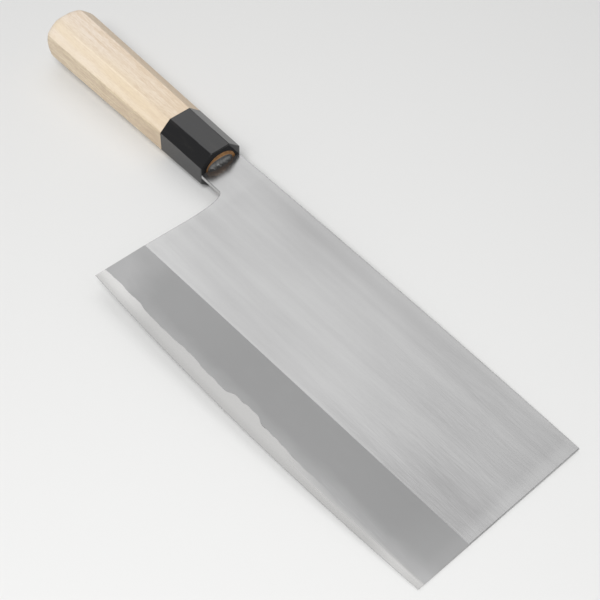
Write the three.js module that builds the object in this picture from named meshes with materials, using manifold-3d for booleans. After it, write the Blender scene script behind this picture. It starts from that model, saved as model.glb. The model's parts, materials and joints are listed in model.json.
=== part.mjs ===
// Chinese cleaver: a laminated blade whose tang is set in an octagonal wooden handle with a horn ferrule.
// Lengths are in millimetres. The knife is drawn in its own axes, X from heel to toe, Y from edge to spine
// and Z out of the left face, with the heel corner at the origin. It is then laid on its right side, +Z up.

import * as THREE from 'three';
import { mergeVertices } from 'three/addons/utils/BufferGeometryUtils.js';
import Module from 'manifold-3d';

// Blade outline
const bladeLength = 220;
const bladeHeight = 107.1;
const toeRise = 4.6; // the toe corner stands this much nearer the spine than the heel corner
const edgeBelly = 3.4; // the edge swells this far below the straight line between its corners
const spineCrown = 0.9;
const heelLean = 1.3; // degrees, the heel's upright leaning towards the toe

// Neck between the heel and the ferrule
const neckLength = 18.4;
const neckHeight = 25.5;
const choilAlong = 5.8; // the rounded inner corner, measured along the neck
const choilDown = 27; // and down the heel

// Blade section
const spineThicknessNeck = 2.8;
const spineThicknessToe = 2;
const cheekThinning = 0.5; // thickness lost between the spine and the bevel line
const bevelHeightHeel = 29.9;
const bevelHeightToe = 30.6;
const edgeThickness = 0.12;
const coreThickness = 0.56;
const weldLine = 0.02; // between the core and each cladding

// Handle section, at the front of the ferrule and at the butt
const handleLength = 142; // ferrule and wood together
const handleWidthFront = 26.4;
const handleWidthButt = 30.8;
const handleThicknessFront = 24.4;
const handleThicknessButt = 27;
const chamferAcross = 7.1; // the octagon's cut corner, along the width
const chamferThrough = 6.25; // and along the thickness
const handleDrop = 12.3; // the handle's axis below the spine
const buttRoundAlong = 7;
const buttRoundIn = 5;

// Ferrule, tenon and tang
const ferruleLength = 34.4;
const ferruleEase = 0.6; // broken edge round the ferrule's front
const ferruleWallSide = 2.9;
const ferruleWallFace = 3.2;
const tenonRimSide = 1.7;
const tenonRimFace = 3.7;
const sealDepth = 9;
const sealRecess = 0.6; // the resin lies this far inside the ferrule's mouth
const sealEnds = 1.6; // resin beside the tang's narrow edges
const tangLength = 96;
const tangTipWidth = 8;
const tangTipThickness = 1.8;
const glueLine = 0.12; // between glued pieces

// Fineness of the curves
const bladeSteps = 28;
const curveSteps = 12;
const ferruleEaseSteps = 1;
const buttRoundSteps = 4;
const overrun = 6; // how far a cutting shape reaches past what it cuts

// Places along the knife that follow from the sizes
const shoulderX = -neckLength;
const ferruleFrontX = shoulderX - glueLine;
const jointX = ferruleFrontX - ferruleLength;
const buttX = ferruleFrontX - handleLength;
const tangTipX = shoulderX - tangLength;
const handleY = bladeHeight - handleDrop;
const neckY = bladeHeight - neckHeight;

// Half sizes of the nested ovals in the ferrule's mouth, from the outside in
const boreHalf = {
  across: handleWidthFront / 2 - ferruleWallSide,
  through: handleThicknessFront / 2 - ferruleWallFace,
};
const pocketHalf = {
  across: boreHalf.across - tenonRimSide,
  through: boreHalf.through - tenonRimFace,
};
const tangRootHalf = pocketHalf.across - glueLine - sealEnds;

const wasm = await Module();
wasm.setup();

function solid(geometry) {
  geometry.deleteAttribute('normal');
  geometry.deleteAttribute('uv');
  const merged = mergeVertices(geometry);
  return new wasm.Manifold(new wasm.Mesh({
    numProp: 3,
    vertProperties: new Float32Array(merged.getAttribute('position').array),
    triVerts: new Uint32Array(merged.getIndex().array),
  }));
}

function piece(name, body, material) {
  const { vertProperties, triVerts } = body.getMesh();
  const geometry = new THREE.BufferGeometry();
  geometry.setAttribute('position', new THREE.BufferAttribute(vertProperties, 3));
  geometry.setIndex(new THREE.BufferAttribute(triVerts, 1));
  geometry.computeVertexNormals();
  const mesh = new THREE.Mesh(geometry, material);
  mesh.name = name;
  return mesh;
}

function moveVertices(geometry, place) {
  const position = geometry.getAttribute('position');
  const point = new THREE.Vector3();
  for (let i = 0; i < position.count; i += 1) {
    place(point.fromBufferAttribute(position, i));
    position.setXYZ(i, point.x, point.y, point.z);
  }
  return geometry;
}

// A plan outline, in X and Y, made a plate of the given thickness about the blade's middle plane
function plate(outline, thickness) {
  const geometry = new THREE.ExtrudeGeometry(outline, {
    depth: thickness,
    bevelEnabled: false,
    curveSegments: curveSteps,
  });
  return solid(geometry.translate(0, 0, -thickness / 2));
}

// A section, in Y and Z, drawn out along X
const sectionAlongX = new THREE.Matrix4().makeBasis(
  new THREE.Vector3(0, 1, 0),
  new THREE.Vector3(0, 0, 1),
  new THREE.Vector3(1, 0, 0),
);

function drawnOut(section, fromX, toX, bevel = { bevelEnabled: false }) {
  const geometry = new THREE.ExtrudeGeometry(section, {
    depth: toX - fromX,
    curveSegments: curveSteps,
    ...bevel,
  });
  return geometry.applyMatrix4(sectionAlongX).translate(fromX, 0, 0);
}

function oval(half, inset = 0) {
  const section = new THREE.Shape();
  section.absellipse(handleY, 0, half.across - inset, half.through - inset, 0, 2 * Math.PI);
  return section;
}

// Blade lines, as functions of the place along the blade
function edgeY(x) {
  const u = x / bladeLength;
  return toeRise * u - edgeBelly * 4 * u * (1 - u);
}

function bevelY(x) {
  return THREE.MathUtils.mapLinear(x, 0, bladeLength, bevelHeightHeel, toeRise + bevelHeightToe);
}

function heelX(y) {
  return y * Math.tan(THREE.MathUtils.degToRad(heelLean));
}

function spineHalf(x) {
  if (x < shoulderX) {
    return THREE.MathUtils.mapLinear(x, tangTipX, shoulderX, tangTipThickness, spineThicknessNeck) / 2;
  }
  return THREE.MathUtils.mapLinear(x, shoulderX, bladeLength, spineThicknessNeck, spineThicknessToe) / 2;
}

// Half thickness of the flat cheek, which thins evenly from the spine to the bevel line
function cheekHalf(x, y) {
  const share = (bladeHeight - y) / (bladeHeight - bevelHeightHeel);
  return spineHalf(x) - (cheekThinning / 2) * share;
}

// The blade's thickness everywhere: an edge land, two bevels and two cheeks, drawn out past both ends
function bladeWedge() {
  const topY = bladeHeight + spineCrown + overrun;
  const rows = [
    { y: edgeY, half: () => edgeThickness / 2 },
    { y: bevelY, half: (x) => cheekHalf(x, bevelY(x)) },
    { y: () => topY, half: (x) => cheekHalf(x, topY) },
  ];
  const stations = [tangTipX - overrun, shoulderX];
  for (let step = 0; step <= bladeSteps; step += 1) {
    stations.push(THREE.MathUtils.mapLinear(step, 0, bladeSteps, -overrun, bladeLength + overrun));
  }
  const down = rows.map((row, index) => new THREE.Vector2(index, -row.half(0)));
  const up = rows.map((row, index) => new THREE.Vector2(index, row.half(0))).reverse();
  const spans = stations.length - 1;
  const geometry = new THREE.ExtrudeGeometry(new THREE.Shape([...down, ...up]), {
    depth: spans,
    steps: spans,
    bevelEnabled: false,
  });
  return solid(moveVertices(geometry, (point) => {
    const row = rows[Math.round(point.x)];
    const x = stations[Math.round(point.z)];
    const side = Math.sign(point.y);
    point.set(x, row.y(x), side * row.half(x));
  }));
}

// The tang in plan, or with a gap all round it, the slot that it lies in
function tangPlan(gap = 0) {
  const rootHalf = tangRootHalf + gap;
  const tipHalf = tangTipWidth / 2 + gap;
  const tipX = tangTipX - gap;
  return { rootHalf, tipHalf, tipX };
}

// Blade, neck and tang in plan. The edge side is left long, because the wedge ends at the edge
function bladeOutline() {
  const tang = tangPlan();
  const belowEdge = -edgeBelly - overrun;
  const crownY = bladeHeight + 2 * spineCrown;
  const outline = new THREE.Shape();
  outline.moveTo(heelX(belowEdge), belowEdge);
  outline.lineTo(bladeLength, belowEdge);
  outline.lineTo(bladeLength, bladeHeight);
  outline.quadraticCurveTo((bladeLength + shoulderX) / 2, crownY, shoulderX, bladeHeight);
  outline.lineTo(shoulderX, handleY + tang.rootHalf);
  outline.lineTo(tang.tipX, handleY + tang.tipHalf);
  outline.lineTo(tang.tipX, handleY - tang.tipHalf);
  outline.lineTo(shoulderX, handleY - tang.rootHalf);
  outline.lineTo(shoulderX, neckY);
  outline.lineTo(heelX(neckY) - choilAlong, neckY);
  outline.quadraticCurveTo(heelX(neckY), neckY, heelX(neckY - choilDown), neckY - choilDown);
  outline.closePath();
  return outline;
}

// A slab across the whole blade between two heights over its middle plane
function layer(fromZ, toZ) {
  const length = bladeLength + neckLength + tangLength + 2 * overrun;
  const height = 2 * (bladeHeight + overrun);
  const slab = new THREE.BoxGeometry(length, height, toZ - fromZ);
  const middleX = (bladeLength + tangTipX) / 2;
  return solid(slab.translate(middleX, bladeHeight / 2, (fromZ + toZ) / 2));
}

// How much the handle's half width and half thickness have grown at a place behind the ferrule's front
function handleGrowth(x) {
  const share = (ferruleFrontX - x) / handleLength;
  return {
    across: (share * (handleWidthButt - handleWidthFront)) / 2,
    through: (share * (handleThicknessButt - handleThicknessFront)) / 2,
  };
}

// The taper moves each corner of a section outwards, so the cut corners keep their size and stay flat
function tapered(geometry) {
  return moveVertices(geometry, (point) => {
    const growth = handleGrowth(point.x);
    point.y += Math.sign(point.y - handleY) * growth.across;
    point.z += Math.sign(point.z) * growth.through;
  });
}

function octagon() {
  const across = handleWidthFront / 2;
  const through = handleThicknessFront / 2;
  const flatAcross = across - chamferAcross;
  const flatThrough = through - chamferThrough;
  const corners = [
    [across, -flatThrough],
    [across, flatThrough],
    [flatAcross, through],
    [-flatAcross, through],
    [-across, flatThrough],
    [-across, -flatThrough],
    [-flatAcross, -through],
    [flatAcross, -through],
  ];
  return new THREE.Shape(corners.map(([y, z]) => new THREE.Vector2(handleY + y, z)));
}

// An octagonal length of handle whose ends are rounded over by the given amounts
function octagonLength(fromX, toX, roundAlong, roundIn, roundSteps) {
  const body = drawnOut(octagon(), fromX + roundAlong, toX - roundAlong, {
    bevelEnabled: true,
    bevelThickness: roundAlong,
    bevelSize: roundIn,
    bevelOffset: -roundIn,
    bevelSegments: roundSteps,
  });
  return solid(tapered(body));
}

// A block wider than the handle, between two cuts square to it
function block(fromX, toX) {
  const width = handleWidthFront + handleWidthButt;
  const slab = new THREE.BoxGeometry(toX - fromX, width, width);
  return solid(slab.translate((fromX + toX) / 2, handleY, 0));
}

// The slot for the tang, burnt into the wood and left in the resin
function tangSlot() {
  const tang = tangPlan(glueLine);
  const slope = (tang.rootHalf - tang.tipHalf) / (shoulderX - tang.tipX);
  const mouthX = shoulderX + overrun;
  const mouthHalf = tang.rootHalf + slope * overrun;
  const outline = new THREE.Shape();
  outline.moveTo(mouthX, handleY + mouthHalf);
  outline.lineTo(tang.tipX, handleY + tang.tipHalf);
  outline.lineTo(tang.tipX, handleY - tang.tipHalf);
  outline.lineTo(mouthX, handleY - mouthHalf);
  outline.closePath();
  return plate(outline, spineThicknessNeck + 2 * glueLine);
}

const claddingIron = { color: 0xc2c4c5, roughness: 0.34, metalness: 1 };
const coreSteel = { color: 0xdcdad5, roughness: 0.22, metalness: 1 };
const horn = { color: 0x17161a, roughness: 0.16, metalness: 0 };
const paleWood = { color: 0xe6d6bf, roughness: 0.7, metalness: 0 };
const resin = { color: 0x3b3b3a, roughness: 0.2, metalness: 0 };

function blade() {
  const whole = plate(bladeOutline(), 2 * spineThicknessNeck).intersect(bladeWedge());
  const coreHalf = coreThickness / 2;
  const claddingFrom = coreHalf + weldLine;
  const claddingTo = spineThicknessNeck + overrun;
  const layers = {
    core_steel: [layer(-coreHalf, coreHalf), coreSteel],
    cladding_left: [layer(claddingFrom, claddingTo), claddingIron],
    cladding_right: [layer(-claddingTo, -claddingFrom), claddingIron],
  };
  return Object.entries(layers).map(([name, [slab, finish]]) => (
    piece(name, whole.intersect(slab), new THREE.MeshStandardMaterial(finish))
  ));
}

function ferrule() {
  const backX = jointX - ferruleEase - overrun;
  const eased = octagonLength(backX, ferruleFrontX, ferruleEase, ferruleEase, ferruleEaseSteps);
  const bore = drawnOut(oval(boreHalf), jointX - overrun, ferruleFrontX + overrun);
  const collar = eased.intersect(block(jointX, ferruleFrontX + overrun)).subtract(solid(bore));
  return piece('ferrule', collar, new THREE.MeshStandardMaterial(horn));
}

function handleBody() {
  const frontX = jointX + buttRoundAlong + overrun;
  const rounded = octagonLength(buttX, frontX, buttRoundAlong, buttRoundIn, buttRoundSteps);
  const grip = rounded.intersect(block(buttX - overrun, jointX - glueLine));
  const tenon = drawnOut(oval(boreHalf, glueLine), jointX - overrun, ferruleFrontX);
  const pocket = drawnOut(oval(pocketHalf), ferruleFrontX - sealRecess - sealDepth, ferruleFrontX + overrun);
  const wood = grip.add(solid(tenon)).subtract(solid(pocket)).subtract(tangSlot());
  return piece('handle_body', wood, new THREE.MeshStandardMaterial(paleWood));
}

function tangSeal() {
  const frontX = ferruleFrontX - sealRecess;
  const plug = drawnOut(oval(pocketHalf, glueLine), frontX - sealDepth + glueLine, frontX);
  return piece('tang_seal', solid(plug).subtract(tangSlot()), new THREE.MeshStandardMaterial(resin));
}

const knife = new THREE.Group();
knife.add(...blade(), ferrule(), handleBody(), tangSeal());

// Laid on a table, the knife stands on the lower front corner of the ferrule and on its cheek at the toe
const contactX = ferruleFrontX - ferruleEase;
const contactGrowth = handleGrowth(contactX);
const ferruleCorner = new THREE.Vector3(
  contactX,
  handleY - (handleWidthFront / 2 - chamferAcross + contactGrowth.across),
  -(handleThicknessFront / 2 + contactGrowth.through),
);
const toeBevelY = bevelY(bladeLength);
const toeBevel = new THREE.Vector3(bladeLength, toeBevelY, -cheekHalf(bladeLength, toeBevelY));
const toeSpine = new THREE.Vector3(bladeLength, bladeHeight, -cheekHalf(bladeLength, bladeHeight));
const table = new THREE.Plane().setFromCoplanarPoints(ferruleCorner, toeBevel, toeSpine);
knife.quaternion.setFromUnitVectors(table.normal, new THREE.Vector3(0, 0, 1));

// The origin is under the middle of the knife, on the table
const bounds = new THREE.Box3().setFromObject(knife, true);
const middle = bounds.getCenter(new THREE.Vector3());
knife.position.set(-middle.x, -middle.y, -bounds.min.z);

const cleaver = new THREE.Group();
cleaver.add(knife);

export default cleaver;
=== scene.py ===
"""Dresses a laminated cleaver with its ferrule and handle, on a pale floor in soft light."""

import json
import math

import bmesh
import bpy
from mathutils import Matrix, Vector, noise


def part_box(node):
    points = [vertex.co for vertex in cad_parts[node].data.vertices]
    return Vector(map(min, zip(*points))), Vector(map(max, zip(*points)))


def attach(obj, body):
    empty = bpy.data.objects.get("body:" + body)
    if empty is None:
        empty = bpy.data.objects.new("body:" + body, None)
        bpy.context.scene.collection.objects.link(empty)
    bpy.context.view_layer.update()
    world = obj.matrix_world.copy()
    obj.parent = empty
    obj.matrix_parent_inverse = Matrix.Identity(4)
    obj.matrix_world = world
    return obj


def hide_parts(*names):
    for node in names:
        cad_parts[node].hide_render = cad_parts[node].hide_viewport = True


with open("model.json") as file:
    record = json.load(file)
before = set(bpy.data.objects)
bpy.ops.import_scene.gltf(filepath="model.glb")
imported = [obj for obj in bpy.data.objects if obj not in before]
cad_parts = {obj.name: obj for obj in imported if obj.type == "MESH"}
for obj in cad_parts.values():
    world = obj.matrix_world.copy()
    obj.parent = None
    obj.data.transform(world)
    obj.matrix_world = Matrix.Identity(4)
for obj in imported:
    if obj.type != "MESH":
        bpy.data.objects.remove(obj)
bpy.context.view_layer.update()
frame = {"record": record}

bl_info = {
    "name": "Laminated cleaver",
    "version": (1, 0, 0),
    "blender": (4, 5, 0),
    "location": "3D View > Sidebar > Cleaver",
    "description": "Makes a laminated cleaver with an octagonal handle, and a stage to show it on",
    "category": "Add Mesh",
}

MM = 0.001
LEFT, RIGHT = 1, -1

# Fineness of the meshes
BLADE_STEPS = 220
SPINE_STEPS = 24
CHOIL_STEPS = 14
CORNER_STEPS = 5
EASE_STEPS = 3
FLAT_CUTS = 5
DOME_STEPS = 9
SEAL_STEPS = 96
SEAL_RINGS = 10

# A squareness that makes an oval nearly a rectangle
SLOT_SQUARENESS = 24

# Shorter edges belong to rounded corners, closer points are one, and faces turned more along X are ends
NARROW = 1 * MM
SAME_PLACE = 1e-7
END_SLOPE = 0.9

# Lengths of the weld's waves and ripples, of the resin's lumps, and of their fading at the tang's edges
WAVE_LENGTH = 16 * MM
RIPPLE_LENGTH = 4.5 * MM
LUMP_LENGTH = 1.7 * MM
LUMP_FADE = 1.5 * MM


def size(name, description, millimetres):
    return bpy.props.FloatProperty(
        name=name, description=description, default=millimetres * MM, unit="LENGTH", precision=5
    )


def angle(name, description, degrees):
    return bpy.props.FloatProperty(
        name=name, description=description, default=math.radians(degrees), subtype="ANGLE"
    )


def number(name, description, default):
    return bpy.props.FloatProperty(name=name, description=description, default=default, min=0)


def colour(name, description, red, green, blue):
    return bpy.props.FloatVectorProperty(
        name=name, description=description, default=(red, green, blue), min=0, max=1, subtype="COLOR"
    )


def position(name, description, x, y, z):
    return bpy.props.FloatVectorProperty(
        name=name, description=description, default=(x * MM, y * MM, z * MM), subtype="TRANSLATION"
    )


class BladeSizes(bpy.types.PropertyGroup):
    """Sizes of the blade: X runs from heel to toe, Y from edge to spine, and Z out of the left face."""

    length: size("Length", "Heel corner to toe", 220)
    height: size("Height", "Heel corner to spine", 107.1)
    toe_rise: size("Toe rise", "How much nearer the spine the toe corner stands", 4.6)
    belly: size("Belly", "How far the edge swells below a straight line", 3.4)
    crown: size("Spine crown", "How far the spine swells above a straight line", 0.9)
    heel_lean: angle("Heel lean", "Lean of the heel's upright towards the toe", 1.3)
    neck_length: size("Neck length", "Heel corner to the ferrule's front", 18.4)
    neck_height: size("Neck height", "Spine to the neck's underside", 25.5)
    choil_along: size("Choil along", "Rounded corner, measured along the neck", 5.8)
    choil_down: size("Choil down", "Rounded corner, measured down the heel", 27)
    spine_neck: size("Spine at the neck", "Thickness of the spine at the ferrule", 2.8)
    spine_toe: size("Spine at the toe", "Thickness of the spine at the toe", 2)
    thinning: size("Thinning", "Thickness lost from the spine to the bevel line", 0.5)
    bevel_heel: size("Bevel at the heel", "Height of the bevel at the heel", 29.9)
    bevel_toe: size("Bevel at the toe", "Height of the bevel at the toe", 30.6)
    edge_land: size("Edge land", "Thickness where the two bevels end", 0.12)
    hone_height: size("Honed height", "Height of the fine bevel at the very edge", 0.4)
    hone_apex: size("Honed apex", "Thickness left at the very edge", 0.07)
    core: size("Core", "Thickness of the hard core layer", 0.56)
    weld: size("Weld line", "Gap between the core and each cladding", 0.02)
    weld_heel: size("Weld at the heel", "Height of the weld line over the edge at the heel", 6.5)
    weld_toe: size("Weld at the toe", "Height of the weld line over the edge at the toe", 3.8)
    weld_swell: size("Weld swell", "How much higher the weld line runs in between", 2.4)
    weld_wave: size("Weld wave", "Height of the weld line's long waves", 1.1)
    weld_ripple: size("Weld ripple", "Height of the weld line's short ripples", 0.6)
    tongue_height: size("Tongue height", "Height of the tongue of core in the left weld line", 1.7)
    tongue_start: size("Tongue start", "Where the tongue starts, from the heel", 93)
    tongue_end: size("Tongue end", "Where the tongue ends, from the heel", 119)
    tongue_flank: size("Tongue flank", "Length over which the tongue rises and falls", 6)
    ease: size("Eased edge", "Rounding of the spine, heel and toe edges", 0.25)


class HandleSizes(bpy.types.PropertyGroup):
    """Sizes of the ferrule, the handle and what they hold."""

    length: size("Length", "Ferrule and wood together", 142)
    width_front: size("Width at the front", "Across the flats beside the spine and edge", 26.4)
    width_butt: size("Width at the butt", "Across the flats beside the spine and edge", 30.8)
    thick_front: size("Thickness at the front", "Across the flats beside the cheeks", 24.4)
    thick_butt: size("Thickness at the butt", "Across the flats beside the cheeks", 27)
    chamfer_across: size("Chamfer across", "The octagon's cut corner, along its width", 7.1)
    chamfer_through: size("Chamfer through", "The octagon's cut corner, along its thickness", 6.25)
    drop: size("Drop", "The handle's axis below the spine", 12.3)
    butt_round: size("Butt rounding", "Length over which the butt rounds off", 7)
    butt_squareness: number("Butt squareness", "2 makes the butt a half ball, more flattens it", 3.3)
    butt_fullness: number("Butt fullness", "Size of the butt's oval beside the octagon's flats", 1.09)
    wood_ease: size("Wood edges", "Rounding of the wood's long edges", 0.42)
    ferrule: size("Ferrule", "Length of the horn ferrule", 34.4)
    ferrule_ease: size("Ferrule front", "Rounding of the ferrule's front edge", 0.6)
    horn_ease: size("Horn edges", "Rounding of the ferrule's long edges", 0.26)
    wall_side: size("Wall at the sides", "Ferrule wall beside the spine and edge", 2.9)
    wall_face: size("Wall at the faces", "Ferrule wall beside the cheeks", 3.2)
    rim_side: size("Rim at the sides", "Tenon rim beside the spine and edge", 1.7)
    rim_face: size("Rim at the faces", "Tenon rim beside the cheeks", 3.7)
    setback: size("Tenon setback", "How far the tenon's end lies inside the ferrule's mouth", 0.5)
    pocket_squareness: number("Pocket squareness", "2 makes the resin's pocket an oval", 2.5)
    seal_depth: size("Resin depth", "Depth of the resin in the tenon", 9)
    seal_recess: size("Resin recess", "How far the resin lies inside the mouth", 0.6)
    seal_ends: size("Resin ends", "Resin beside the tang's narrow edges", 1.6)
    seal_sag: size("Resin sag", "How far the resin sank as it set", 0.4)
    seal_creep: size("Resin creep", "How far the resin crept up the steel before it set", 2.1)
    # The neck's darkened oval beside the mouth: partly a smoky film of resin, partly a painted dark
    # reflection of the mouth
    smoke_reflection_along: size("Smoke along", "How far smoke dulled the neck beside the ferrule", 5.4)
    smoke_reflection_across: size("Smoke across", "Half the smoked oval's width", 11.2)
    smoke_reflection_drop: size("Smoke drop", "The smoked oval's middle below the handle's axis", 0.7)
    tang_length: size("Tang length", "From the shoulder to the tang's tip", 96)
    tang_tip_width: size("Tang tip width", "Width of the tang at its tip", 8)
    tang_tip_thickness: size("Tang tip thickness", "Thickness of the tang at its tip", 1.8)
    glue: size("Glue line", "Gap between glued pieces", 0.12)


class FinishColours(bpy.types.PropertyGroup):
    """Colours of the finishes, in linear light."""

    satin: colour("Satin iron", "Brushed flat of the cladding", 0.532, 0.531, 0.53)
    satin_dark: colour("Satin shade", "Darkest streaks on the brushed flat", 0.312, 0.311, 0.31)
    mist: colour("Misty iron", "Stone-finished bevel of the cladding", 0.36, 0.36, 0.36)
    mist_light: colour("Mist", "Paler mist on the bevel near the weld line", 0.52, 0.52, 0.52)
    honed: colour("Honed steel", "Core steel above the edge", 0.43, 0.427, 0.42)
    bright: colour("Bright steel", "Brightest core steel, near the heel", 0.65, 0.645, 0.635)
    wood_pale: colour("Pale wood", "Early wood of the handle's spine side", 0.82, 0.725, 0.63)
    wood_warm: colour("Warm wood", "Yellower early wood of the handle's edge side", 0.8, 0.672, 0.452)
    wood_dark: colour("Dark wood", "Late wood and fibres of the handle", 0.66, 0.53, 0.39)
    wood_brown: colour("Brown wood", "Coarse fibres of the handle's edge side", 0.5, 0.38, 0.26)
    end_grain: colour("Stained end grain", "Tenon's end in the ferrule's mouth", 0.42, 0.22, 0.085)
    end_dark: colour("Dark end grain", "Darker stain in the tenon's end", 0.27, 0.13, 0.05)
    horn: colour("Black horn", "Polished ferrule", 0.005, 0.005, 0.0055)
    horn_streak: colour("Horn streak", "Faint lighter streaks in the horn", 0.013, 0.012, 0.011)
    resin: colour("Resin", "Cured resin in the ferrule's mouth", 0.17, 0.173, 0.172)
    # Painted shade on the resin where it crept onto the steel
    resin_painted_shade: colour("Thick resin", "Darker resin where it crept up the steel", 0.035, 0.035, 0.034)
    # Colour of the neck's darkened oval: partly smoky iron, partly a painted dark reflection of the
    # ferrule's mouth
    smoke_and_painted_reflection: colour("Smoked iron", "Film of resin and smoke on the neck", 0.17, 0.17, 0.172)
    floor: colour("Floor", "Plain floor under the knife", 0.73, 0.73, 0.722)
    surround: colour("Surround", "Plain light from all round", 0.31, 0.31, 0.313)


class StageSettings(bpy.types.PropertyGroup):
    """Camera, lamps and floor."""

    camera: position("Camera", "Where the camera stands", 318.03, -233.22, 450.86)
    aim: position("Aim", "Where the middle of the picture meets the floor", 41.84, 17.08, 0)
    roll: angle("Roll", "Turn of the camera about its line of sight", 0.69)
    lens: number("Lens", "Focal length in millimetres on a 36 mm sensor", 70.72)
    floor_size: size("Floor", "Side of the floor", 6000)
    front_lamp: position("Front lamp", "Where the front lamp hangs", 460, -610, 1180)
    front_size: size("Front size", "Side of the front lamp", 600)
    front_power: number("Front power", "Watts of the front lamp", 17.0)
    sheen_lamp: position("Sheen lamp", "Where the lamp hangs that the blade mirrors", -465, 380, 930)
    sheen_length: size("Sheen length", "Size along X of the lamp that the blade mirrors", 1150)
    sheen_width: size("Sheen width", "Size along Y of the lamp that the blade mirrors", 680)
    sheen_power: number("Sheen power", "Watts of the lamp that the blade mirrors", 2.36)


def mix(start, end, amount):
    """From the start at 0 to the end at 1."""
    return start + (end - start) * amount


def step(start, end, value):
    """0 up to the start and 1 past the end, smooth in between."""
    t = min(max((value - start) / (end - start), 0), 1)
    return t * t * (3 - 2 * t)


class Knife:
    """Lines and places that follow from the sizes, in the knife's own axes."""

    def __init__(self, scene):
        blade = self.blade = scene.cleaver_blade
        handle = self.handle = scene.cleaver_handle
        self.shoulder_x = -blade.neck_length
        self.front_x = self.shoulder_x - handle.glue
        self.mouth_x = self.front_x - handle.setback
        self.joint_x = self.front_x - handle.ferrule
        self.butt_x = self.front_x - handle.length
        self.tang_tip_x = self.shoulder_x - handle.tang_length
        self.axis_y = blade.height - handle.drop
        self.neck_y = blade.height - blade.neck_height
        front_half = Vector((handle.width_front, handle.thick_front)) / 2
        self.bore = front_half - Vector((handle.wall_side, handle.wall_face))
        self.pocket = self.bore - Vector((handle.rim_side, handle.rim_face))
        self.tang_root = self.pocket.x - handle.glue - handle.seal_ends
        self.slot = Vector((self.tang_root, blade.spine_neck / 2)) + Vector((handle.glue, handle.glue))
        self.pose = self.find_pose()

    def find_pose(self):
        """From the knife's axes to the frame: the cheeks give the turn, the solids' boxes the place."""
        blade, handle = self.blade, self.handle
        facing = {mount["name"]: Vector(mount["axis"]) for mount in frame["record"]["mounts"]}
        out_of_left = (facing["left_cheek"] - facing["right_cheek"]).normalized()
        turn = Vector((0, 0, 1)).rotation_difference(out_of_left).to_matrix()
        toe = turn @ Vector((blade.length, blade.height, self.cheek_half(blade.length, blade.height)))
        inner = blade.core / 2 + blade.weld
        crown = turn @ Vector((self.spine_middle(), blade.height + blade.crown, inner))
        foot = turn @ min(self.octagon(self.front_x - handle.ferrule_ease), key=lambda corner: corner.z)
        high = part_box("cladding_left")[1]
        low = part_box("ferrule")[0]
        return Matrix.Translation((high.x - toe.x, high.y - crown.y, low.z - foot.z)) @ turn.to_4x4()

    def spine_middle(self):
        return (self.blade.length + self.shoulder_x) / 2

    def edge_y(self, x):
        """The edge: a straight line to the toe, with a belly below it."""
        blade = self.blade
        u = x / blade.length
        return blade.toe_rise * u - blade.belly * 4 * u * (1 - u)

    def hone_y(self, x):
        """Top of the fine bevel at the edge."""
        return self.edge_y(x) + self.blade.hone_height

    def bevel_y(self, x):
        """The line between the bevel and the flat cheek."""
        blade = self.blade
        return mix(blade.bevel_heel, blade.toe_rise + blade.bevel_toe, x / blade.length)

    def weld_y(self, x, side):
        """Where the core comes out on one side: a swelling line with forged waves, calmer near the toe."""
        blade = self.blade
        u = x / blade.length
        height = mix(blade.weld_heel, blade.weld_toe, u) + blade.weld_swell * math.sin(math.pi * u)
        calm = 1 - 0.8 * step(0.6, 0.75, u)
        # Y and Z only choose which stretch of the noise a side gets
        wave = blade.weld_wave * noise.noise(Vector((x / WAVE_LENGTH, 4.5 * side, 0.4)))
        ripple = blade.weld_ripple * noise.noise(Vector((x / RIPPLE_LENGTH, 2.2 * side, 2.6)))
        height += calm * (wave + ripple)
        if side == LEFT:
            rise = step(blade.tongue_start, blade.tongue_start + blade.tongue_flank, x)
            fall = step(blade.tongue_end, blade.tongue_end - blade.tongue_flank, x)
            height += blade.tongue_height * rise * fall
        return self.edge_y(x) + height

    def heel_x(self, y):
        """Where the leaning heel stands at a height."""
        return y * math.tan(self.blade.heel_lean)

    def spine_half(self, x):
        """Half the spine's thickness, or the tang's behind the shoulder."""
        blade, handle = self.blade, self.handle
        if x < self.shoulder_x:
            back = (self.shoulder_x - x) / handle.tang_length
            return mix(blade.spine_neck, handle.tang_tip_thickness, back) / 2
        ahead = (x - self.shoulder_x) / (blade.length - self.shoulder_x)
        return mix(blade.spine_neck, blade.spine_toe, ahead) / 2

    def cheek_half(self, x, y):
        """Half the thickness between the cheeks, which thins from the spine down."""
        blade = self.blade
        down = (blade.height - y) / (blade.height - blade.bevel_heel)
        return self.spine_half(x) - blade.thinning / 2 * down

    def face_half(self, x, y):
        """Half the blade's thickness, on the cheek or on the bevel."""
        bevel = self.bevel_y(x)
        if y >= bevel:
            return self.cheek_half(x, y)
        edge = self.edge_y(x)
        return mix(self.blade.edge_land / 2, self.cheek_half(x, bevel), (y - edge) / (bevel - edge))

    def on_line(self, line, u):
        """A point on one of the blade's lines, from 0 at the heel to 1 at the toe."""
        x = u * self.blade.length
        y = line(x)
        return Vector((x + (1 - u) * self.heel_x(y), y, 0))

    def spine_points(self):
        """Along the spine from the toe back to the shoulder."""
        blade = self.blade
        for point in range(SPINE_STEPS + 1):
            t = point / SPINE_STEPS
            y = blade.height + blade.crown * 4 * t * (1 - t)
            yield Vector((mix(blade.length, self.shoulder_x, t), y, 0))

    def choil_points(self):
        """Round the inner corner from the neck down to the heel."""
        corner = Vector((self.heel_x(self.neck_y), self.neck_y, 0))
        start = corner - Vector((self.blade.choil_along, 0, 0))
        end_y = self.neck_y - self.blade.choil_down
        end = Vector((self.heel_x(end_y), end_y, 0))
        for point in range(CHOIL_STEPS + 1):
            t = point / CHOIL_STEPS
            yield start.lerp(corner, t).lerp(corner.lerp(end, t), t)

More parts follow.
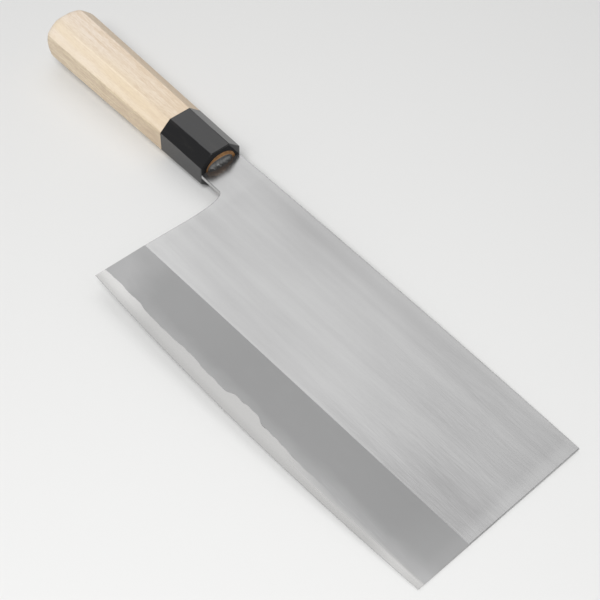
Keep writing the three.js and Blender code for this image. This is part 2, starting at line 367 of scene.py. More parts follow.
    def octagon(self, x):
        """Corners of the handle's section at a place along it."""
        handle = self.handle
        back = (self.front_x - x) / handle.length
        wide = mix(handle.width_front, handle.width_butt, back) / 2
        thick = mix(handle.thick_front, handle.thick_butt, back) / 2
        flat_wide = wide - handle.chamfer_across
        flat_thick = thick - handle.chamfer_through
        quarter = [(wide, flat_thick), (flat_wide, thick)]
        half = quarter + [(-y, z) for y, z in reversed(quarter)]
        whole = half + [(-y, -z) for y, z in half]
        return [Vector((x, self.axis_y + y, z)) for y, z in whole]


def drawn_on(bm, face):
    """Draws a face out, still in place, and gives the face at the new end."""
    made = bmesh.ops.extrude_face_region(bm, geom=[face, *face.edges, *face.verts])
    return next(item for item in made["geom"] if isinstance(item, bmesh.types.BMFace))


def to_oval(knife, face, x, half, squareness=2):
    """Makes a section round the handle's axis an oval, or nearly a rectangle as squareness grows."""
    for vert in face.verts:
        ray = Vector(((vert.co.y - knife.axis_y) / half.x, vert.co.z / half.y)).normalized()
        reach = (abs(ray.x) ** squareness + abs(ray.y) ** squareness) ** (-1 / squareness)
        vert.co = (x, knife.axis_y + half.x * ray.x * reach, half.y * ray.y * reach)


def drawn_to_oval(bm, knife, face, x, half, squareness=2):
    """Draws a face out to an oval section and gives the face at the new end."""
    end = drawn_on(bm, face)
    to_oval(knife, end, x, half, squareness)
    return end


def holed_through(bm, front, back):
    """Joins two sections that face each other by a wall, in place of their faces."""
    edges = [*front.edges, *back.edges]
    bmesh.ops.delete(bm, geom=[front, back], context="FACES_ONLY")
    bmesh.ops.bridge_loops(bm, edges=edges)


def rounded_over(bm, geom, ease, affect, segments):
    """Rounds edges or corners over and gives the new faces."""
    made = bmesh.ops.bevel(
        bm,
        geom=geom,
        offset=ease,
        offset_type="OFFSET",
        affect=affect,
        segments=segments,
        profile=0.5,
        material=-1,
    )
    return made["faces"]


def eased_octagon(bm, knife, x, ease):
    """The handle's section as one face, with its corners rounded over."""
    face = bm.faces.new([bm.verts.new(corner) for corner in knife.octagon(x)])
    rounded_over(bm, list(face.verts), ease, "VERTICES", CORNER_STEPS)
    return next(iter(bm.faces))


def cut_flats(bm, *sections):
    """Cuts the flats of octagons into short edges, so that they can be made ovals."""
    edges = [edge for section in sections for edge in section.edges]
    flats = [edge for edge in edges if edge.calc_length() > NARROW]
    bmesh.ops.bisect_edges(bm, edges=flats, cuts=FLAT_CUTS)


def taper_to(knife, face, x):
    """Moves a drawn-out section to its place and grows it with the handle's taper."""
    growth = knife.octagon(x)[0] - knife.octagon(face.verts[0].co.x)[0]
    for vert in face.verts:
        vert.co.y += growth.y * math.copysign(1, vert.co.y - knife.axis_y)
        vert.co.z += growth.z * math.copysign(1, vert.co.z)
        vert.co.x = x


def strip(bm, knife, lines):
    """Bands of the blade's plan between lines, from heel to toe. Gives the vertices on each line."""
    bands = len(lines) - 1
    made = bmesh.ops.create_grid(bm, x_segments=BLADE_STEPS, y_segments=bands, size=0.5)
    rows = [[] for _ in lines]
    for vert in made["verts"]:
        u = vert.co.x + 0.5
        row = round((vert.co.y + 0.5) * bands)
        vert.co = knife.on_line(lines[row], u)
        rows[row].append(vert)
    return [sorted(row, key=lambda vert: vert.co.x) for row in rows]


def upper_plan(bm, knife, row):
    """The blade's plan from a line up to the spine, with the neck, and the tang behind it."""
    new = bm.verts.new
    spine = [new(point) for point in knife.spine_points()]
    root = [new((knife.shoulder_x, knife.axis_y + side * knife.tang_root, 0)) for side in (1, -1)]
    tip_half = knife.handle.tang_tip_width / 2
    tip = [new((knife.tang_tip_x, knife.axis_y + side * tip_half, 0)) for side in (1, -1)]
    neck = new((knife.shoulder_x, knife.neck_y, 0))
    choil = [new(point) for point in knife.choil_points()]
    bm.faces.new([*row, *spine, *root, neck, *choil])
    bm.faces.new([root[0], *tip, root[1]])


def other_side(bm):
    """Draws a plan out into a closed shape, still flat, and gives the new side's vertices."""
    made = bmesh.ops.extrude_face_region(bm, geom=bm.faces[:])
    return [item for item in made["geom"] if isinstance(item, bmesh.types.BMVert)]


def laid_in_frame(bm, knife, name, node, finish):
    """Makes a closed shape a piece in the frame, standing for a solid."""
    if not all(edge.is_manifold for edge in bm.edges):
        raise RuntimeError(f"{name} isn't closed")
    bmesh.ops.recalc_face_normals(bm, faces=bm.faces)
    if bm.calc_volume(signed=True) < 0:
        bmesh.ops.reverse_faces(bm, faces=bm.faces)
    bmesh.ops.transform(bm, matrix=knife.pose, verts=bm.verts)
    mesh = bpy.data.meshes.new(name)
    bm.to_mesh(mesh)
    bm.free()
    mesh.materials.append(finish)
    piece = bpy.data.objects.new(name, mesh)
    bpy.context.scene.collection.objects.link(piece)
    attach(piece, "root")
    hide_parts(node)


def core_shape(knife):
    """The hard core: honed at the edge, bare up to the weld lines, then hidden between the claddings."""
    bm = bmesh.new()
    on_weld = bm.verts.layers.int.new("on_weld")
    half = knife.blade.core / 2
    edge, hone, weld = strip(bm, knife, [knife.edge_y, knife.hone_y, lambda x: knife.weld_y(x, LEFT)])
    upper_plan(bm, knife, weld)
    for vert in bm.verts:
        vert.co.z = half
    for vert in edge:
        vert.co.z = knife.blade.hone_apex / 2
    for vert in hone + weld:
        vert.co.z = knife.face_half(vert.co.x, vert.co.y)
    for vert in weld:
        vert[on_weld] = True
    for vert in other_side(bm):
        if vert[on_weld]:
            vert.co.y = knife.weld_y(vert.co.x, RIGHT)
            vert.co.z = knife.face_half(vert.co.x, vert.co.y)
        vert.co.z = -vert.co.z
    return bm


def cladding_shape(knife, side):
    """One cladding: the flat cheek and the bevel, which thins out to nothing along the weld line."""
    bm = bmesh.new()
    on_strip = bm.verts.layers.int.new("on_strip")
    inner = knife.blade.core / 2 + knife.blade.weld
    weld, bevel = strip(bm, knife, [lambda x: knife.weld_y(x, side), knife.bevel_y])
    for vert in weld + bevel:
        vert[on_strip] = True
    upper_plan(bm, knife, bevel)
    for vert in bm.verts:
        vert.co.z = knife.face_half(vert.co.x, vert.co.y)
    outline = [edge for edge in bm.edges if edge.is_boundary]
    upper = [edge for edge in outline if not all(vert[on_strip] for vert in edge.verts)]
    tang_x = knife.shoulder_x + SAME_PLACE
    rim = [edge for edge in upper if max(vert.co.x for vert in edge.verts) > tang_x]
    feather = {tuple(vert.co) for vert in weld}
    for vert in other_side(bm):
        if tuple(vert.co) not in feather:
            vert.co.z = inner
    bmesh.ops.remove_doubles(bm, verts=bm.verts, dist=SAME_PLACE)
    bmesh.ops.recalc_face_normals(bm, faces=bm.faces)
    for face in rounded_over(bm, rim, knife.blade.ease, "EDGES", EASE_STEPS):
        face.smooth = True
    for vert in bm.verts:
        vert.co.z *= side
    return bm


def ferrule_shape(knife):
    """The horn ferrule: polished facets, a rounded front edge and an oval bore."""
    handle = knife.handle
    bm = bmesh.new()
    back = eased_octagon(bm, knife, knife.joint_x, handle.horn_ease)
    front = drawn_on(bm, back)
    taper_to(knife, front, knife.front_x)
    rounded = set(rounded_over(bm, list(front.edges), handle.ferrule_ease, "EDGES", EASE_STEPS))
    back, *_, front = sorted(bm.faces, key=lambda face: face.calc_center_median().x)
    rounded.discard(front)
    cut_flats(bm, front, back)
    mouth = drawn_to_oval(bm, knife, front, knife.front_x, knife.bore)
    rear = drawn_to_oval(bm, knife, back, knife.joint_x, knife.bore)
    holed_through(bm, mouth, rear)
    smooth_round_faces(bm, rounded)
    return bm


def smooth_round_faces(bm, rounded):
    """Shades rounded edges and round walls smoothly, and leaves the facets and the ends flat."""
    bm.normal_update()
    for face in bm.faces:
        narrow = min(edge.calc_length() for edge in face.edges) < NARROW
        face.smooth = face in rounded or (narrow and abs(face.normal.x) < END_SLOPE)


def round_butt(knife, ring, lean):
    """Narrows a straight ring into the butt's dome, and turns the octagon into an oval on the way."""
    handle = knife.handle
    power = handle.butt_squareness
    dome = (1 - lean ** power) ** (1 / power)
    for vert in ring:
        y, z = vert.co.y - knife.axis_y, vert.co.z
        across = math.hypot(2 * y / handle.width_butt, 2 * z / handle.thick_butt)
        narrow = dome * mix(1, handle.butt_fullness / across, step(0, 1, lean))
        vert.co = (knife.butt_x + handle.butt_round * (1 - lean), knife.axis_y + y * narrow, z * narrow)


def handle_shape(knife):
    """The wooden handle: eased facets, a domed butt, and a tenon with a pocket and the tang's slot."""
    handle = knife.handle
    bm = bmesh.new()
    front = eased_octagon(bm, knife, knife.joint_x - handle.glue, handle.wood_ease)
    cut_flats(bm, front)
    end = drawn_on(bm, front)
    taper_to(knife, end, knife.butt_x + handle.butt_round)
    rings = []
    for _ in range(DOME_STEPS):
        end = drawn_on(bm, end)
        rings.append(list(end.verts))
    for count, ring in enumerate(rings, 1):
        turn = math.radians(90) * count / DOME_STEPS
        round_butt(knife, ring, math.sin(turn) ** (2 / handle.butt_squareness))
    bmesh.ops.remove_doubles(bm, verts=rings[-1], dist=SAME_PLACE)
    rounded = {face for ring in rings[:-1] for vert in ring for face in vert.link_faces}
    tenon = knife.bore - Vector((handle.glue, handle.glue))
    tip = Vector((handle.tang_tip_width / 2 + handle.glue, knife.slot.y))
    floor_x = knife.front_x - handle.seal_recess - handle.seal_depth
    section = drawn_to_oval(bm, knife, front, knife.joint_x - handle.glue, tenon)
    section = drawn_to_oval(bm, knife, section, knife.mouth_x, tenon)
    section = drawn_to_oval(bm, knife, section, knife.mouth_x, knife.pocket, handle.pocket_squareness)
    section = drawn_to_oval(bm, knife, section, floor_x, knife.pocket, handle.pocket_squareness)
    section = drawn_to_oval(bm, knife, section, floor_x, knife.slot, SLOT_SQUARENESS)
    drawn_to_oval(bm, knife, section, knife.tang_tip_x - handle.glue, tip, SLOT_SQUARENESS)
    smooth_round_faces(bm, rounded)
    return bm


def resin_creep(knife, place):
    """How far the resin crept up the tang's faces: in lumps, and not past the tang's edges."""
    lumps = 1 + 0.9 * noise.noise(Vector((0.05, place.y / LUMP_LENGTH, math.copysign(2.5, place.z))))
    ends = step(knife.slot.x, knife.slot.x - LUMP_FADE, abs(place.y - knife.axis_y))
    on_face = step(0.5 * knife.slot.y, 0.9 * knife.slot.y, abs(place.z))
    return knife.handle.seal_creep * lumps * ends * on_face


def seal_shape(knife):
    """The resin: poured round the tang, sunk as it set, and drawn up where it wets the steel."""
    handle = knife.handle
    bm = bmesh.new()
    outer = knife.pocket - Vector((handle.glue, handle.glue))
    back_x = knife.front_x - handle.seal_recess - handle.seal_depth + handle.glue
    bmesh.ops.create_circle(bm, cap_ends=True, segments=SEAL_STEPS, radius=1)
    bmesh.ops.rotate(bm, verts=bm.verts, matrix=Matrix.Rotation(math.radians(90), 3, "Y"))
    bmesh.ops.translate(bm, verts=bm.verts, vec=(0, knife.axis_y, 0))
    back = next(iter(bm.faces))
    to_oval(knife, back, back_x, outer, handle.pocket_squareness)
    front = drawn_to_oval(bm, knife, back, knife.mouth_x, outer, handle.pocket_squareness)
    for ring in range(1, SEAL_RINGS + 1):
        inwards = 1 - (1 - ring / SEAL_RINGS) ** 2
        sag = handle.seal_sag * (1 - (1 - inwards) ** 3) * (1 - inwards ** 10)
        squareness = mix(handle.pocket_squareness, SLOT_SQUARENESS, inwards ** 3)
        half = outer.lerp(knife.slot, inwards)
        front = drawn_to_oval(bm, knife, front, knife.mouth_x - sag, half, squareness)
        for vert in front.verts:
            vert.co.x += resin_creep(knife, vert.co) * inwards ** 6
    rear = drawn_to_oval(bm, knife, back, back_x, knife.slot, SLOT_SQUARENESS)
    holed_through(bm, front, rear)
    for face in bm.faces:
        face.smooth = True
    return bm


class Link:
    """A node's output. Arithmetic on numbers adds Math nodes to the finish that it belongs to."""

    def __init__(self, finish, socket):
        self.finish = finish
        self.socket = socket

    def math(self, operation, first, second):
        return self.finish.add("ShaderNodeMath", {"operation": operation}, {0: first, 1: second})

    def __add__(self, other):
        return self.math("ADD", self, other)

    def __radd__(self, other):
        return self.math("ADD", other, self)

    def __sub__(self, other):
        return self.math("SUBTRACT", self, other)

    def __rsub__(self, other):
        return self.math("SUBTRACT", other, self)

    def __mul__(self, other):
        return self.math("MULTIPLY", self, other)

    def __rmul__(self, other):
        return self.math("MULTIPLY", other, self)

    def __truediv__(self, other):
        return self.math("DIVIDE", self, other)

    def __rtruediv__(self, other):
        return self.math("DIVIDE", other, self)

    def __pow__(self, other):
        return self.math("POWER", self, other)

    def __rpow__(self, other):
        return self.math("POWER", other, self)


class Finish:
    """A material made of nodes, drawn in the knife's own axes and in millimetres."""

    def __init__(self, name, knife=None):
        self.material = bpy.data.materials.new(name)
        self.material.use_nodes = True
        self.tree = self.material.node_tree
        self.tree.nodes.clear()
        if knife is not None:
            place, turn, _ = knife.pose.decompose()
            settings = {"vector_type": "TEXTURE"}
            sockets = {"Location": place, "Rotation": turn.to_euler(), "Scale": (MM, MM, MM)}
            sockets["Vector"] = self.add("ShaderNodeTexCoord", output="Object")
            self.knife = self.add("ShaderNodeMapping", settings, sockets)
            self.x, self.y, self.z = (
                self.add("ShaderNodeSeparateXYZ", None, {"Vector": self.knife}, axis) for axis in "XYZ"
            )

    def add(self, kind, settings=None, sockets=None, output=0):
        """Adds a node with its settings and its sockets' values or links, and gives one output."""
        node = self.tree.nodes.new(kind)
        for name, value in (settings or {}).items():
            setattr(node, name, value)
        for name, value in (sockets or {}).items():
            socket = self.input_of(node, name)
            if isinstance(value, Link):
                self.tree.links.new(value.socket, socket)
            else:
                socket.default_value = value
        if not node.outputs:
            return None
        found = [item for item in node.outputs if output in (item.identifier, item.name)]
        return Link(self, found[0] if found else node.outputs[output])

    def input_of(self, node, name):
        """A node's input by its number, its name or its identifier."""
        if isinstance(name, int):
            return node.inputs[name]
        return next(item for item in node.inputs if name in (item.identifier, item.name))

    def stretched(self, along, across, through):
        """The knife's axes, with a pattern's size along each in millimetres."""
        sockets = {0: self.knife, 1: (1 / along, 1 / across, 1 / through)}
        return self.add("ShaderNodeVectorMath", {"operation": "MULTIPLY"}, sockets)

    def noise(self, vector, detail=2.0, roughness=0.5, distortion=0.0):
        """A noise of 0 to 1 round 0.5."""
        sockets = {"Vector": vector, "Scale": 1.0, "Detail": detail, "Roughness": roughness}
        sockets["Distortion"] = distortion
        return self.add("ShaderNodeTexNoise", None, sockets, "Fac")

    def ramp(self, value, low, high):
        """0 below low and 1 above high, with a smooth step between, or the other way round."""
        sockets = {"Value": value, "From Min": low, "From Max": high, "To Min": 0.0, "To Max": 1.0}
        return self.add("ShaderNodeMapRange", {"interpolation_type": "SMOOTHSTEP"}, sockets)

    def blend(self, amount, start, end):
        """A colour between two colours."""
        settings = {"data_type": "RGBA", "clamp_factor": True}
        sockets = {"Factor_Float": amount, "A_Color": opaque(start), "B_Color": opaque(end)}
        return self.add("ShaderNodeMix", settings, sockets, "Result_Color")

    def bump(self, height, depth, strength=1.0):
        """A normal from a height of 0 to 1 that stands for a depth in millimetres."""
        sockets = {"Height": height, "Distance": depth * MM, "Strength": strength}
        return self.add("ShaderNodeBump", None, sockets, "Normal")

    def surface(self, **sockets):
        """Ends the finish in one shader and gives the material."""
        named = {name.replace("_", " "): value for name, value in sockets.items()}
        shader = self.add("ShaderNodeBsdfPrincipled", None, named, "BSDF")
        self.add("ShaderNodeOutputMaterial", None, {"Surface": shader})
        return self.material


def opaque(value):
    """A colour with an alpha of 1, or a link as it is."""
    return value if isinstance(value, Link) else (*value, 1.0)


def edge_height(finish, knife):
    """Height over the edge, in millimetres, as the blade's own line runs."""
    blade = knife.blade
    u = finish.x / (blade.length / MM)
    edge = u * (blade.toe_rise / MM) - u * (1 - u) * (4 * blade.belly / MM)
    return u, finish.y - edge


def iron_finish(knife, colours):
    """Soft iron: brushed along the flat, stone-misted on the bevel, and darkened beside the ferrule,
    partly by a smoky film of resin and partly as a painted dark reflection of the ferrule's mouth.
    """
    finish = Finish("cladding_iron", knife)
    blade = knife.blade
    u, height = edge_height(finish, knife)
    bevel = u * ((blade.toe_rise + blade.bevel_toe - blade.bevel_heel) / MM) + blade.bevel_heel / MM
    over_bevel = finish.y - bevel
    on_bevel = finish.ramp(over_bevel, 0.06, -0.06)
    streak = finish.noise(finish.stretched(11, 0.5, 4), detail=3, roughness=0.6)
    mottle = finish.noise(finish.stretched(9, 5, 5), detail=3, roughness=0.6)
    grain = finish.noise(finish.stretched(1.4, 0.35, 1), detail=1)
    # The neck beside the mouth is painted darker and duller: partly a smoky film, partly a painted
    # reflection
    smoke_and_reflection = smoke_and_reflection_oval(finish, knife, mottle)
    flat = finish.blend(smoke_and_reflection, brushed_flat(finish, knife, colours, u, over_bevel, streak), colours.smoke_and_painted_reflection)
    mist = misted_bevel(finish, knife, colours, u, height, streak, mottle)
    return finish.surface(
        Base_Color=finish.blend(on_bevel, flat, mist),
        Metallic=1 - smoke_and_reflection * 0.15,
        Roughness=mix(streak * 0.08 + 0.21, mottle * 0.1 + 0.42, on_bevel),
        Normal=finish.bump((1 - on_bevel) * streak + on_bevel * grain * 0.5, 0.012, 0.03),
    )


def smoke_and_reflection_oval(finish, knife, mottle):
    """1 where the neck is darkened beside the ferrule's mouth, in a soft uneven oval: partly a smoky film
    of resin, partly a painted dark reflection of the mouth.
    """
    handle = knife.handle
    along = (finish.x - knife.front_x / MM) / (handle.smoke_reflection_along / MM)
    across = (finish.y - (knife.axis_y - handle.smoke_reflection_drop) / MM) / (handle.smoke_reflection_across / MM)
    return finish.ramp(along ** 2 + across ** 4 + (mottle - 0.5) * 0.6, 1.0, 0.4)


def brushed_flat(finish, knife, colours, u, over_bevel, streak):
    """Colour of the flat: bands and clouds, streaks from wear towards the toe, painted shade and light in
    broad tones, rims lightened by rubbing, and a painted highlight along the spine.
    """
    length, top = knife.blade.length / MM, knife.blade.height / MM
    band = finish.noise(finish.stretched(190, 7.5, 20), detail=2, roughness=0.45)
    cloud = finish.noise(finish.stretched(70, 30, 20), detail=2)
    toe_wear_and_painted_tone = finish.ramp(u, 0.5, 0.85)
    low = finish.ramp(over_bevel, 26, 10)
    high = finish.ramp(finish.y, top - 34, top - 4)
    near_spine = finish.ramp(finish.y, top - 20, top - 4) * finish.ramp(u, 0.02, 0.2)
    # Painted shade and light: the toe half darker, most of all just above the bevel, and lighter near the
    # spine; the heel half darker near the spine
    shade = toe_wear_and_painted_tone * (low * 0.16 - high * 0.11 + 0.12) + (1 - toe_wear_and_painted_tone) * near_spine * 0.2
    brushing = band * 0.38 + cloud * 0.42 + 0.1 + (streak - 0.5) * (toe_wear_and_painted_tone * 0.53 + 0.25) - shade
    toe_rim = finish.ramp(finish.x, length - 9, length - 2) * 2.9
    heel_rim = finish.ramp(finish.x, 7, 1)
    # The spine's rim is painted lighter: a painted highlight of the eased spine edge
    spine_highlight = finish.ramp(finish.y, top - 5, top - 1) * 1.6
    bevel_rim = finish.ramp(over_bevel, 2.5, 0)
    heel_corner = finish.ramp(u, 0.25, 0.02) * finish.ramp(over_bevel, 22, 2) * 1.8
    rubbed_and_highlight = toe_rim + heel_rim + spine_highlight + bevel_rim + heel_corner
    return finish.blend(brushing * 1.2 + 0.15 + rubbed_and_highlight * 0.1, colours.satin_dark, colours.satin)


def misted_bevel(finish, knife, colours, u, height, streak, mottle):
    """Colour of the bevel: mist that gathers along the weld line and towards the heel and the toe."""
    length = knife.blade.length / MM
    drift = finish.noise(finish.stretched(22, 9, 5), detail=2)
    along_weld = finish.ramp(height + (drift - 0.5) * 7, 15, 6) * (finish.ramp(u, 0.1, 0.35) * 0.26 + 0.26)
    at_heel = finish.ramp(u + (drift - 0.5) * 0.08, 0.14, 0.0)
    heel_corner = at_heel * (finish.ramp(height, 27, 8) * 0.6 + 0.5)
    near_toe = finish.ramp(u, 0.62, 0.72) * finish.ramp(u, 0.95, 0.85) * finish.ramp(height, 11, 5)
    scratches = near_toe * finish.ramp(streak, 0.5, 0.72) * 0.5
    heel_end = finish.ramp(u, 0.45, 0.1) * 0.24
    toe_end = finish.ramp(u, 0.85, 1.0) * 0.3 + finish.ramp(finish.x, length - 9, length - 1) * 0.2
    mist = along_weld + heel_corner + scratches + heel_end + toe_end + (mottle - 0.5) * 0.14
    return finish.blend(mist, colours.mist, colours.mist_light)


def steel_finish(knife, colours):
    """Hard core steel: honed bright, fading into the mist towards the toe."""
    finish = Finish("core_steel", knife)
    u, height = edge_height(finish, knife)
    streak = finish.noise(finish.stretched(22, 0.5, 4), detail=3, roughness=0.6)
    speck = finish.noise(finish.stretched(0.7, 0.5, 0.5), detail=1)
    fade = finish.ramp(height + (streak - 0.5) * 2.5, 2.8, 5.8) * finish.ramp(u, 0.6, 0.78)
    rise = finish.ramp(height + (speck - 0.5) * 2, 0, 5)
    at_heel = finish.ramp(u, 0.2, 0.05) * (rise * 0.26 + 0.36)
    at_toe = finish.ramp(u, 0.85, 0.95) * finish.ramp(height + (streak - 0.5) * 1.5, 4.2, 2.8) * 0.55
    shine = rise * 0.26 + at_heel + at_toe + (streak - 0.5) * 0.14
    steel = finish.blend(shine, colours.honed, colours.bright)
    misted = mix(colours.mist, colours.mist_light, 0.55)
    return finish.surface(
        Base_Color=finish.blend(fade, steel, misted),
        Metallic=1.0,
        Roughness=fade * 0.14 + streak * 0.1 + 0.2,
        Normal=finish.bump(streak, 0.004, 0.3),
    )


def horn_finish(knife, colours):
    """Black horn: polished, with faint streaks that follow its growth."""
    finish = Finish("horn", knife)
    streak = finish.noise(finish.stretched(30, 3, 3), detail=4, roughness=0.6, distortion=0.4)
    haze = finish.noise(finish.stretched(5, 2, 2), detail=3)
    return finish.surface(
        Base_Color=finish.blend(finish.ramp(streak, 0.5, 0.75), colours.horn, colours.horn_streak),
        Roughness=haze * 0.1 + 0.06,
        IOR=1.62,
        Normal=finish.bump(streak, 0.02, 0.15),
    )


def wood_finish(knife, colours):
    """Pale straight-grained wood, with a stained end in the ferrule's mouth."""
    finish = Finish("pale_wood", knife)
    front = knife.front_x / MM
    fibre = finish.noise(finish.stretched(11, 0.85, 0.85), detail=3, roughness=0.7)
    fleck = finish.noise(finish.stretched(3, 0.5, 0.5), detail=2, roughness=0.6)
    stain = finish.noise(finish.stretched(1.5, 1.2, 1.2), detail=2)
    stained = finish.ramp(finish.x, front - 4, front - 1)
    end_grain = finish.blend(finish.ramp(stain, 0.35, 0.7), colours.end_grain, colours.end_dark)
    return finish.surface(
        Base_Color=finish.blend(stained, straight_grain(finish, knife, colours, fibre, fleck), end_grain),
        Roughness=fibre * 0.2 + 0.5 - stained * 0.2,
        IOR=1.5,
        Normal=finish.bump(fibre * 0.6 + fleck * 0.4, 0.06, 0.3),
    )


def straight_grain(finish, knife, colours, fibre, fleck):
    """Colour of the wood: soft rings and fine fibres, unlike on each side and darker near the ferrule,
    with painted shade on the spine-side facets and a painted highlight along the near chamfer's lower
    edge.
    """
    axis, joint = knife.axis_y / MM, knife.joint_x / MM
    rings = finish.noise(finish.stretched(240, 2.8, 7), detail=2, roughness=0.5, distortion=0.2)
    coarse = finish.noise(finish.stretched(14, 3, 1.8), detail=3, roughness=0.65)
    blush = finish.noise(finish.stretched(26, 9, 9), detail=2)
    aged = finish.ramp(finish.x, knife.butt_x / MM, joint)
    soiled = finish.ramp(finish.x, joint - 28, joint)
    edge_side = finish.ramp(finish.y, axis - 11, axis - 13) * finish.ramp(finish.z, 7.4, 6.2)
    # A lighter, cooler strip on the near chamfer along its edge with the edge-side facet: a painted
    # highlight
    painted_edge_highlight = finish.ramp(finish.y, axis - 10, axis - 12.5) * finish.ramp(finish.z, 6.2, 7.4)
    spine_side = finish.ramp(finish.y, axis + 7, axis + 10)
    warm_edge = finish.ramp(finish.y, axis + 2, axis - 15) * 0.65
    warm_spine = finish.ramp(finish.y, axis + 6, axis + 12) * 0.35
    warmth = warm_edge + warm_spine + aged * 0.2 - painted_edge_highlight * 0.35 + (blush - 0.5) * 0.5
    early = finish.blend(warmth, colours.wood_pale, colours.wood_warm)
    quiet = finish.ramp(finish.y, axis - 5, axis - 9) * 0.35
    pattern = finish.ramp(rings * 0.3 + fibre * 0.34 + fleck * 0.36, 0.37, 0.69)
    grain = (pattern - 0.35) * (edge_side * 1.6 + 1 - quiet) + 0.35
    darkness = grain + aged * (edge_side * 0.3 + 0.22) - painted_edge_highlight * 0.12 - edge_side * 0.3
    # The spine-side facets are painted darker: painted shade
    wood = finish.blend(darkness + soiled * 0.12 + spine_side * 0.3, early, colours.wood_dark)
    brown = edge_side * (finish.ramp(coarse, 0.38, 0.68) * 0.45 + soiled * 0.25)
    return finish.blend(brown, wood, colours.wood_brown)


def resin_finish(knife, colours):
    """Dark cured resin with a glossy skin, with painted shade where it crept onto the steel."""
    finish = Finish("resin", knife)
    ripple = finish.noise(finish.stretched(1.6, 2.2, 1.6), detail=2)
    front = knife.front_x / MM
    # Painted shade: the resin darker where it crept onto the steel
    on_steel = finish.ramp(finish.x, front - 0.3, front + 0.8)
    return finish.surface(
        Base_Color=finish.blend(on_steel * 0.7 + ripple * 0.4, colours.resin, colours.resin_painted_shade),
        Roughness=ripple * 0.1 + 0.05,
        IOR=1.55,
        Normal=finish.bump(ripple, 1.0, 0.7),
    )


def floor_finish(colours):
    """A plain matt floor."""
    finish = Finish("floor")
    return finish.surface(Base_Color=opaque(colours.floor), Roughness=0.9)


class CLEAVER_OT_core(bpy.types.Operator):
    """Make the hard core layer of the blade"""

    bl_idname = "cleaver.core"
    bl_label = "Core steel"
    bl_options = {"REGISTER", "UNDO"}

    def execute(self, context):
        knife = Knife(context.scene)
        steel = steel_finish(knife, context.scene.cleaver_colours)
        laid_in_frame(core_shape(knife), knife, "blade_core", "core_steel", steel)
        return {"FINISHED"}


class CLEAVER_OT_claddings(bpy.types.Operator):
    """Make the soft iron layer on each side of the blade"""

    bl_idname = "cleaver.claddings"
    bl_label = "Claddings"
    bl_options = {"REGISTER", "UNDO"}

    def execute(self, context):
        knife = Knife(context.scene)
        iron = iron_finish(knife, context.scene.cleaver_colours)
        for name, side in {"left": LEFT, "right": RIGHT}.items():
            bm = cladding_shape(knife, side)
            laid_in_frame(bm, knife, f"blade_cladding_{name}", f"cladding_{name}", iron)
        return {"FINISHED"}


class CLEAVER_OT_ferrule(bpy.types.Operator):
    """Make the horn ferrule"""

    bl_idname = "cleaver.ferrule"
    bl_label = "Ferrule"
    bl_options = {"REGISTER", "UNDO"}

    def execute(self, context):
        knife = Knife(context.scene)
        horn = horn_finish(knife, context.scene.cleaver_colours)
        laid_in_frame(ferrule_shape(knife), knife, "horn_ferrule", "ferrule", horn)
        return {"FINISHED"}


class CLEAVER_OT_handle(bpy.types.Operator):
    """Make the wooden handle"""

    bl_idname = "cleaver.handle"
    bl_label = "Handle"
    bl_options = {"REGISTER", "UNDO"}

    def execute(self, context):
        knife = Knife(context.scene)
        wood = wood_finish(knife, context.scene.cleaver_colours)
        laid_in_frame(handle_shape(knife), knife, "wooden_handle", "handle_body", wood)
        return {"FINISHED"}


class CLEAVER_OT_seal(bpy.types.Operator):
    """Make the resin round the tang"""

    bl_idname = "cleaver.seal"
    bl_label = "Resin"
    bl_options = {"REGISTER", "UNDO"}

    def execute(self, context):
        knife = Knife(context.scene)
        resin = resin_finish(knife, context.scene.cleaver_colours)
        laid_in_frame(seal_shape(knife), knife, "tang_resin", "tang_seal", resin)
        return {"FINISHED"}


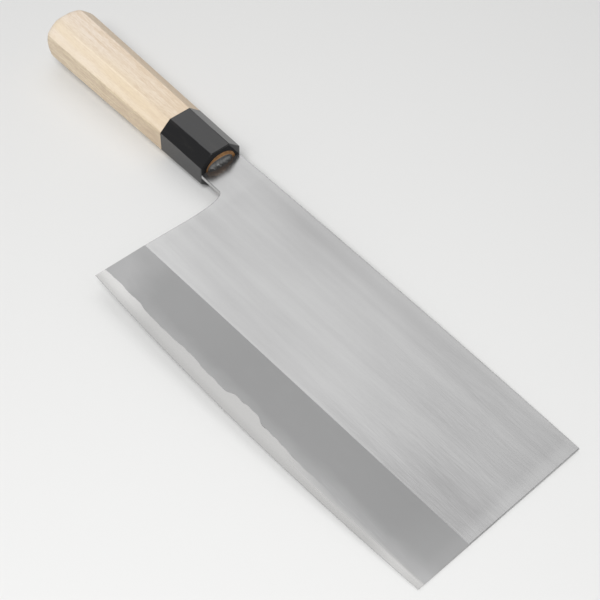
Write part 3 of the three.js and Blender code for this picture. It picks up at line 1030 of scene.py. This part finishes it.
class CLEAVER_OT_stage(bpy.types.Operator):
    """Set the floor, the lamps and the camera"""

    bl_idname = "cleaver.stage"
    bl_label = "Stage"
    bl_options = {"REGISTER", "UNDO"}

    def execute(self, context):
        scene = context.scene
        stage, colours = scene.cleaver_stage, scene.cleaver_colours
        self.lay_floor(scene, stage, colours)
        front = self.hang_lamp(scene, "front_lamp", stage.front_lamp, stage.aim, stage.front_power)
        front.size = stage.front_size
        below = (*stage.sheen_lamp[:2], 0)
        sheen = self.hang_lamp(scene, "sheen_lamp", stage.sheen_lamp, below, stage.sheen_power)
        sheen.shape = "RECTANGLE"
        sheen.size = stage.sheen_length
        sheen.size_y = stage.sheen_width
        self.set_surround(scene, colours)
        self.set_camera(scene, stage)
        scene.view_settings.view_transform = "Standard"
        return {"FINISHED"}

    def lay_floor(self, scene, stage, colours):
        bm = bmesh.new()
        bmesh.ops.create_grid(bm, x_segments=1, y_segments=1, size=stage.floor_size / 2)
        mesh = bpy.data.meshes.new("floor")
        bm.to_mesh(mesh)
        bm.free()
        mesh.materials.append(floor_finish(colours))
        floor = bpy.data.objects.new("floor", mesh)
        scene.collection.objects.link(floor)

    def hang_lamp(self, scene, name, location, aim, power):
        lamp = bpy.data.lights.new(name, "AREA")
        lamp.energy = power
        holder = bpy.data.objects.new(name, lamp)
        holder.location = location
        holder.rotation_euler = (Vector(aim) - Vector(location)).to_track_quat("-Z", "Y").to_euler()
        scene.collection.objects.link(holder)
        return lamp

    def set_surround(self, scene, colours):
        world = bpy.data.worlds.new("surround")
        world.use_nodes = True
        world.node_tree.nodes["Background"].inputs["Color"].default_value = opaque(colours.surround)
        scene.world = world

    def set_camera(self, scene, stage):
        camera = bpy.data.cameras.new("camera")
        camera.sensor_width = 36
        camera.lens = stage.lens
        holder = bpy.data.objects.new("camera", camera)
        sight = Vector(stage.aim) - Vector(stage.camera)
        turn = sight.to_track_quat("-Z", "Y").to_matrix() @ Matrix.Rotation(stage.roll, 3, "Z")
        holder.location = stage.camera
        holder.rotation_euler = turn.to_euler()
        scene.collection.objects.link(holder)
        scene.camera = holder


OPERATORS = (
    CLEAVER_OT_core,
    CLEAVER_OT_claddings,
    CLEAVER_OT_ferrule,
    CLEAVER_OT_handle,
    CLEAVER_OT_seal,
    CLEAVER_OT_stage,
)

GROUPS = {
    "cleaver_blade": BladeSizes,
    "cleaver_handle": HandleSizes,
    "cleaver_colours": FinishColours,
    "cleaver_stage": StageSettings,
}


class CLEAVER_PT_sidebar(bpy.types.Panel):
    """Lists the sizes, the colours and the operators"""

    bl_idname = "CLEAVER_PT_sidebar"
    bl_label = "Cleaver"
    bl_space_type = "VIEW_3D"
    bl_region_type = "UI"
    bl_category = "Cleaver"

    def draw(self, context):
        for name, group in GROUPS.items():
            box = self.layout.box()
            box.label(text=name.removeprefix("cleaver_").capitalize())
            for item in group.__annotations__:
                box.prop(getattr(context.scene, name), item)
        for operator in OPERATORS:
            self.layout.operator(operator.bl_idname)


def register():
    for group in GROUPS.values():
        bpy.utils.register_class(group)
    for name, group in GROUPS.items():
        setattr(bpy.types.Scene, name, bpy.props.PointerProperty(type=group))
    for item in (*OPERATORS, CLEAVER_PT_sidebar):
        bpy.utils.register_class(item)


def unregister():
    for item in (CLEAVER_PT_sidebar, *reversed(OPERATORS)):
        bpy.utils.unregister_class(item)
    for name, group in reversed(GROUPS.items()):
        delattr(bpy.types.Scene, name)
        bpy.utils.unregister_class(group)


def main():
    register()
    bpy.ops.cleaver.core()
    bpy.ops.cleaver.claddings()
    bpy.ops.cleaver.ferrule()
    bpy.ops.cleaver.handle()
    bpy.ops.cleaver.seal()
    bpy.ops.cleaver.stage()


if __name__ == "__main__":
    main()
